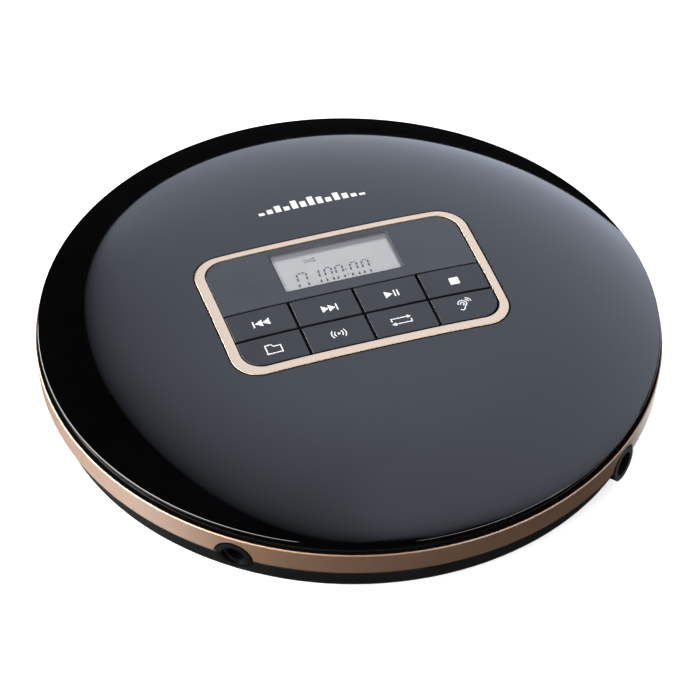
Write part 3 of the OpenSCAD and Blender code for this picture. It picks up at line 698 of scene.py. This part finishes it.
tray = rectangle(-half_w, plate_front, half_w, plate_split - 0.02, [CORNER, CORNER, 0.1, 0.1], 12)
pad("panel_plate_floor", [[tray]], TRAY_Z + 0.6, TRAY_Z, "panel_black", "lid", "panel_black", bevel=0.05,
    step=None, rides_dome=False)

KEYS = {(0, 1): "previous", (1, 1): "next", (2, 1): "play", (3, 1): "stop",
        (0, 0): "folder", (1, 0): "shock", (2, 0): "mode", (3, 0): "sound"}
KEY_TOP = 0.09  # how far the keys stand above the dome
GAP_ACROSS, GAP_DEEP = 0.68, 0.62
KEY_CORNER = 4.8  # of the two keys in the panel's corners
for (column, row), name in KEYS.items():
    x = (column - 1.5) * KEY_W + SHIFT
    y = KEYS_FRONT + (row + 0.5) * KEY_D
    hx, hy = (KEY_W - GAP_ACROSS) / 2, (KEY_D - GAP_DEEP) / 2
    radii = [0.25] * 4
    if name == "folder":
        radii[0] = KEY_CORNER
    if name == "sound":
        radii[1] = KEY_CORNER
    pad(name + "_cap", [[rectangle(x - hx, y - hy, x + hx, y + hy, radii, 9)]], KEY_TOP, CAP_Z,
        "key_plastic", name + "_key", "key_plastic", bevel=0.14, replaces=(name + "_key",))


# ------------------------------------------------------------------ printed symbols

PRINT = 0.025  # thickness of the paint


def printed(name, loops, body, slot, top):
    """A thin layer of paint at height top above the dome, sunk a little into what it is printed on."""
    far = max(math.hypot(x, y) for loop in loops for x, y in loop)
    pad(name, [[loop] for loop in loops], top + PRINT, dome_z(far) + top - 0.12, "print_white", body, slot,
        bevel=0.008, step=1.5)


def arc_band(cx, cy, r, width, start, end, steps=18):
    """A bent stroke, counter-clockwise."""
    angles = [math.radians(start + (end - start) * i / steps) for i in range(steps + 1)]
    far, near = r + width / 2, r - width / 2
    outer = [(cx + far * math.cos(a), cy + far * math.sin(a)) for a in angles]
    inner = [(cx + near * math.cos(a), cy + near * math.sin(a)) for a in reversed(angles)]
    return outer + inner


def triangle(x0, x1, y0, y1, r=0.06):
    """A triangle with an upright side at x0 and its point at x1."""
    points = [(x0, y0), (x1, (y0 + y1) / 2), (x0, y1)]
    if x1 < x0:
        points.reverse()
    return rounded(points, [r] * 3, 3)


def stroke(points, width):
    """A line of even width along the points."""
    left, right = [], []
    for i, p in enumerate(points):
        p = Vector(p)
        before = (p - Vector(points[i - 1])).normalized() if i else None
        after = (Vector(points[i + 1]) - p).normalized() if i + 1 < len(points) else None
        before, after = before or after, after or before
        n = Vector((-before.y - after.y, before.x + after.x))
        n = n / max(n.length_squared / 2, 0.2) * width / 2
        left.append(tuple(p + n))
        right.append(tuple(p - n))
    return right + left[::-1]


ICONS = {
    "previous": [rectangle(-24.2, -6.05, -23.88, -4.1, 0.04), triangle(-22.0, -23.74, -6.05, -4.0, 0.03),
                 triangle(-20.3, -21.98, -6.0, -3.92, 0.03)],
    "next": [triangle(-8.35, -6.77, -6.3, -4.15, 0.03), triangle(-6.75, -5.17, -6.3, -4.15, 0.03),
             rectangle(-5.05, -6.25, -4.73, -4.15, 0.04)],
    "play": [triangle(6.4, 8.2, -6.1, -3.95, 0.03), rectangle(8.5, -5.95, 8.82, -3.95, 0.04),
             rectangle(9.3, -5.95, 9.62, -3.95, 0.04)],
    "stop": [rectangle(21.6, -6.15, 23.8, -3.95, 0.22)],
    # A folder
    "folder": [stroke([(-23.75, -12.0), (-23.75, -14.75), (-20.35, -14.75), (-20.35, -12.75),
                       (-21.95, -12.75), (-22.35, -12.1), (-23.62, -12.1)], 0.27)],
    # A dot between waves
    "shock": [arc_band(-7.15, -13.5, 0.17, 0.34, 0, 359, 14),
              *[arc_band(-7.15, -13.5, r, 0.26, side - half, side + half)
                for r, half in ((0.95, 48), (1.65, 42)) for side in (0, 180)]],
    # A loop of two arrows
    "mode": [stroke([(5.1, -13.75), (5.1, -12.85), (8.75, -12.85)], 0.27),
             triangle(8.78, 9.75, -13.4, -12.3, 0.03),
             stroke([(9.5, -13.6), (9.5, -14.55), (5.85, -14.55)], 0.27),
             triangle(5.82, 4.85, -15.1, -14.0, 0.03)],
    # An ear that hears waves
    "sound": [stroke([(20.95, -12.65), (21.0, -12.05), (21.4, -11.62), (21.95, -11.5), (22.5, -11.68),
                      (22.85, -12.1), (22.88, -12.65), (22.65, -13.1), (22.25, -13.5), (22.05, -13.95),
                      (21.75, -14.4), (21.3, -14.45), (21.0, -14.15)], 0.26),
              stroke([(21.5, -12.75), (21.5, -12.4), (21.75, -12.12), (22.1, -12.15), (22.3, -12.45),
                      (22.2, -12.85), (21.95, -13.1)], 0.22),
              arc_band(22.55, -12.3, 1.0, 0.22, 5, 75),
              arc_band(22.55, -12.3, 1.55, 0.22, 8, 72)],
}
for key, loops in ICONS.items():
    printed(key + "_icon", loops, key + "_key", "key_plastic", KEY_TOP)
# A row of level bars stands where a maker would print a name
BARS = (0.9, 1.5, 2.3, 1.4, 2.9, 2.0, 3.1, 2.4, 1.6, 2.7, 1.9, 1.2, 0.8)
BARS_X, BARS_Y, BAR_W, BAR_STEP = -11.7, 29.0, 1.35, 2
printed("level_bars", [rectangle(x, BARS_Y, x + BAR_W, BARS_Y + h, 0.12)
                       for x, h in ((BARS_X + BAR_STEP * i, h) for i, h in enumerate(BARS))],
        "lid", "gloss_lid", 0)


DISPLAY_DROP = -0.25  # the display's face, below the dome


def display_marks():
    """Dark segments on the display: digits that are open at the bottom, and a pair of crossing arrows."""
    lean = 0.1
    loops = []

    def segment(x0, y0, x1, y1, width=0.38):
        slant = [(x + (y - 5) * lean, y) for x, y in ((x0, y0), (x1, y1))]
        loops.append(stroke(slant, width))

    for x0, x1 in ((-10.3, -8.1), (-3.85, -2.3), (-1.3, 0.3), (2.15, 3.7), (4.9, 6.4)):
        middle = (x0 + x1) / 2
        segment(x0 + 0.3, 7.8, middle - 0.12, 7.8)
        segment(middle + 0.12, 7.8, x1 - 0.3, 7.8)
        for x in (x0, x1):
            segment(x, 7.5, x, 6.7)
            segment(x, 6.4, x, 5.5)
            segment(x, 4.4, x, 3.5)
    # A one, then a colon
    for top, bottom in ((7.6, 6.6), (6.3, 5.4), (4.4, 3.5)):
        segment(-5.2, top, -5.2, bottom)
    for y in (5.97, 4.54):
        loops.append(rectangle(0.95, y - 0.17, 1.29, y + 0.17, 0.05))
    # Crossing arrows
    for points in ([(-7.2, 10.85), (-6.5, 10.85), (-5.4, 11.65), (-4.9, 11.65)],
                   [(-7.2, 11.65), (-6.5, 11.65), (-6.15, 11.4)],
                   [(-5.8, 11.12), (-5.4, 10.85), (-4.9, 10.85)]):
        loops.append(stroke(points, 0.16))
    for y in (11.35, 10.55):
        loops.append(triangle(-4.85, -4.35, y, y + 0.6, 0.03))
    pad("display_marks", [[loop] for loop in loops], DISPLAY_DROP + 0.02, 26.45, "segment", "lid", "display",
        bevel=0.006)


def window_loop(shrink, r):
    """The window's outline made smaller all round."""
    return rectangle(*[w + shrink * side for w, side in zip(window_box, (1, 1, -1, -1))], r)


pad("display_face", [[window_loop(0.05, 0.3)]], DISPLAY_DROP, DISPLAY_TOP - 0.05, "display", "lid",
    "display", bevel=0.02)
display_marks()
# The window's bevelled rim, wider at the back and the right: its dark grey is partly the bevel and partly
# painted shade where the window's walls shade the display
rim_in = rectangle(window_box[0] + 0.1, window_box[1] + 0.1, window_box[2] - 0.3, window_box[3] - 0.3, 0.3)
pad("window_rim", [[window_loop(0.03, 0.33), rim_in[::-1]]], -0.06, 26.4, "rim_grey_and_shade", "lid", "panel_black",
    bevel=0.08)
pad("window_pane", [[window_loop(0.3, 0.3)]], -0.04, 26.77, "window", "lid", "window", bevel=0.02,
    replaces=("display_window",))


# ------------------------------------------------------------------ floor and light

def stage_mesh(name, verts, faces):
    mesh = bpy.data.meshes.new(name)
    mesh.from_pydata([[c * MM for c in v] for v in verts], [], faces)
    obj = bpy.data.objects.new(name, mesh)
    bpy.context.scene.collection.objects.link(obj)
    return obj


def glow(name, color, strength):
    material = bpy.data.materials.new(name)
    material.use_nodes = True
    nodes = material.node_tree.nodes
    nodes.remove(nodes["Principled BSDF"])
    lamp = nodes.new("ShaderNodeEmission")
    lamp.inputs["Color"].default_value = (*color, 1)
    lamp.inputs["Strength"].default_value = strength
    material.node_tree.links.new(lamp.outputs[0], nodes["Material Output"].inputs["Surface"])
    return material


def graded_glow(obj, color, power):
    """A light whose strength is given at each of its points."""
    obj.data.attributes.new("power", "FLOAT", "POINT").data.foreach_set("value", power)
    material = glow(obj.name + "_glow", color, 1.0)
    lamp = next(n for n in material.node_tree.nodes if n.type == "EMISSION")
    amount = material.node_tree.nodes.new("ShaderNodeAttribute")
    amount.attribute_name = "power"
    material.node_tree.links.new(amount.outputs["Fac"], lamp.inputs["Strength"])
    obj.data.materials.append(material)


ROOM_R, SOFTBOX_Z, SIDE_R = 8000, 614.8, 700


def bezier(points, steps=24):
    """A smooth line through every third point, which the points between them pull on."""
    line = [Vector(points[0])]
    for i in range(0, len(points) - 1, 3):
        a, b, c, d = (Vector(p) for p in points[i:i + 4])
        for t in (s / steps for s in range(1, steps + 1)):
            line.append(a * (1 - t) ** 3 + 3 * b * t * (1 - t) ** 2 + 3 * c * t ** 2 * (1 - t) + d * t ** 3)
    return np.array(line)


def smooth(t):
    t = np.clip(t, 0, 1)
    return t * t * (3 - 2 * t)


# The softbox's two long edges, from its front tip to its far end behind the player
SOFTBOX_LEFT = bezier([(130, -177), (-150, -177), (-268, 20), (-290, 560), (-280, 1700), (120, 3250),
                       (1198, 4548), (1737, 5248), (2300, 5850), (2900, 5850)])
SOFTBOX_RIGHT = bezier([(130, -177), (680, -177), (1060, 250), (1700, 700), (2600, 1450), (4100, 2900),
                        (4100, 4200), (4100, 5200), (3600, 5850), (2950, 5850)])


def softbox_fade():
    """The edge along which the softbox fades, as (x, y, how far the fade reaches in)."""
    left, front = SOFTBOX_LEFT, SOFTBOX_RIGHT[SOFTBOX_RIGHT[:, 0] < 800][::-1]
    far = np.exp(-(np.maximum(left[:, 1] - 860, 0) / 560) ** 2)
    reach = 5 + (27 + 78 * smooth((60 - left[:, 0]) / 220)) * far
    return np.vstack((np.column_stack((front, np.full(len(front), 31))), np.column_stack((left, reach))))


def softbox_power(x, y, edge):
    """How bright the softbox is: it fades towards its front and left edge, and grows to the back right."""
    p, a, b = np.array((x, y)), edge[:-1], edge[1:]
    along = b[:, :2] - a[:, :2]
    length = np.maximum((along ** 2).sum(1), 1e-9)
    t = np.clip(((p - a[:, :2]) * along).sum(1) / length, 0, 1)
    away = np.hypot(*(p - a[:, :2] - along * t[:, None]).T)
    i = int(np.argmin(away))
    reach = a[i, 2] + (b[i, 2] - a[i, 2]) * t[i]
    fade = 1 - 0.9 * math.exp(-away[i] / reach)
    level = 1.45 + 0.45 * max(x, 0) / 1000 + 0.28 * math.exp(-((x - 100) ** 2 + (y - 350) ** 2) / 45000)
    return fade * min(level, 2.7)


def grid_faces(rows, columns):
    """Faces between neighbouring points of a grid that is numbered row by row."""
    return [(i * columns + j, i * columns + j + 1, (i + 1) * columns + j + 1, (i + 1) * columns + j)
            for i in range(rows - 1) for j in range(columns - 1)]


def hide(obj):
    """Keeps a light out of the camera's sight and from casting a shadow."""
    obj.visible_camera = False
    obj.visible_shadow = False


def build_room():
    """The paper floor, and a pale room round it that lights from every side but isn't mirrored in gloss."""
    circle = [(math.cos(2 * math.pi * i / 64), math.sin(2 * math.pi * i / 64)) for i in range(64)]
    floor = stage_mesh("floor", [(ROOM_R * x, ROOM_R * y, 0) for x, y in circle], [tuple(range(64))])
    n = Nodes("floor_paper")
    paper = n.blend(n.ramp(n.noise(300, 2), 0, 1), (0.84, 0.84, 0.845), (0.87, 0.87, 0.875))
    floor.data.materials.append(n.finish(paper, n.ramp(n.noise(3), 0.7, 0.8),
                                         Emission_Color=(1, 1, 1, 1), Emission_Strength=0.22))
    floor.visible_glossy = False
    rings = [(ROOM_R * math.cos(t), ROOM_R * math.sin(t)) for t in np.linspace(0, math.pi / 2 * 0.98, 9)]
    verts = [(r * x, r * y, z - 50) for r, z in rings for x, y in circle]
    faces = [(i * 64 + j, i * 64 + (j + 1) % 64, (i + 1) * 64 + (j + 1) % 64, (i + 1) * 64 + j)
             for i in range(8) for j in range(64)]
    faces.append(tuple(range(8 * 64, 9 * 64)))
    room = stage_mesh("room", verts, faces)
    room.data.materials.append(glow("room_light", (1.0, 1.0, 1.0), 1.05))
    room.visible_glossy = False


def build_softbox():
    """The softbox over the player, whose outline shows in the gloss of the lid."""
    edge = softbox_fade()
    front, far_end = SOFTBOX_LEFT[0, 1], SOFTBOX_LEFT[-1, 1]
    rows = [front + 28 * i for i in range(48)] + [1180 + 200 * i for i in range(24)] + [far_end]
    shares = [(i / 20) ** 1.6 for i in range(21)]
    verts, power = [], []
    for y in rows:
        x0, x1 = (np.interp(y, side[:, 1], side[:, 0]) for side in (SOFTBOX_LEFT, SOFTBOX_RIGHT))
        for share in shares:
            x = x0 + (x1 - x0) * share
            verts.append((x, y, SOFTBOX_Z))
            power.append(softbox_power(x, y, edge))
    softbox = stage_mesh("softbox", verts, grid_faces(len(rows), len(shares)))
    graded_glow(softbox, (0.9, 0.985, 1.18), power)
    hide(softbox)


# Low lights for the edge of the rim and the trim, and two cards below the floor, which only gloss can see.
# Each column: azimuth, lower and upper edge, strength
SIDE_LIGHTS = {
    "left_light": ((120, 90, 210, 24), (145, 90, 260, 28), (165, 90, 420, 22), (185, 90, 480, 20),
                   (205, 90, 480, 15), (220, 90, 480, 11), (236, 90, 480, 7)),
    "right_light": ((-45, 60, 240, 4), (-20, 60, 240, 5), (-3, 60, 220, 5)),
    "front_light": ((-85, 420, 640, 6), (-60, 420, 680, 9), (-30, 420, 640, 8)),
    "left_card": ((110, -760, -190, 0.4), (145, -760, -190, 0.9), (172, -760, -190, 2.6),
                  (192, -760, -190, 2.2), (204, -760, -190, 0.1), (215, -760, -190, 0)),
    "right_card": ((4, -760, -190, 0), (18, -760, -190, 0.2), (30, -760, -190, 1.8), (60, -760, -190, 2.2)),
}


def build_side_lights():
    for name, columns in SIDE_LIGHTS.items():
        columns = np.array(columns, float)
        marks = np.linspace(columns[0, 0], columns[-1, 0], 16)
        low, high, strength = (np.interp(marks, columns[:, 0], columns[:, i]) for i in (1, 2, 3))
        bend = [(SIDE_R * math.cos(math.radians(a)), SIDE_R * math.sin(math.radians(a))) for a in marks]
        verts = [(x, y, z) for edge in (low, high) for (x, y), z in zip(bend, edge)]
        side = stage_mesh(name, verts, grid_faces(2, len(bend)))
        graded_glow(side, (1.0, 0.99, 0.98), list(strength) * 2)
        hide(side)


def build_world():
    world = bpy.data.worlds.new("world")
    world.use_nodes = True
    world.node_tree.nodes["Background"].inputs["Color"].default_value = (0.015, 0.015, 0.016, 1)
    bpy.context.scene.world = world


build_room()
build_softbox()
build_side_lights()
build_world()


# ------------------------------------------------------------------ CAD nodes that stay, by look

STAYING = {
    "black_case": ("bottom_case", "battery_door", "volume_wheel"),
    "socket_black": ("headphone_jack", "power_jack"),
    "gloss_lid": ("lid_hooks",),
    "inner_black": ("deck", "battery_tray", "lid_liner"),
    "copper_trim": ("trim_ring",),
    "display": ("display_module",),
    "rubber": ("feet", "dampers", "turntable_mat"),
    "steel": ("guide_rods", "hinge_pin", "door_pins", "spindle_shaft", "gear_post"),
    "can_steel": ("case_screws", "contact_plates", "contact_springs", "spindle_motor", "sled_motor",
                  "clamp_balls", "liner_screws"),
    "board_green": ("main_board", "keypad_board"),
    "chip": ("board_chips", "lens_holder"),
    "dark_plastic": ("mech_chassis", "turntable", "pickup_sled", "lid_switch", "volume_pot"),
    "white_plastic": ("switch_plunger", "sled_rack", "double_gear", "motor_pinion"),
    "lens_glass": ("lens",),
    "silicone": ("keypad_membrane",),
    "flex_amber": ("display_flex",),
}
for look_name, names in STAYING.items():
    for name in names:
        if name in NODES:
            NODES[name].data.materials.clear()
            NODES[name].data.materials.append(LOOKS[look_name])
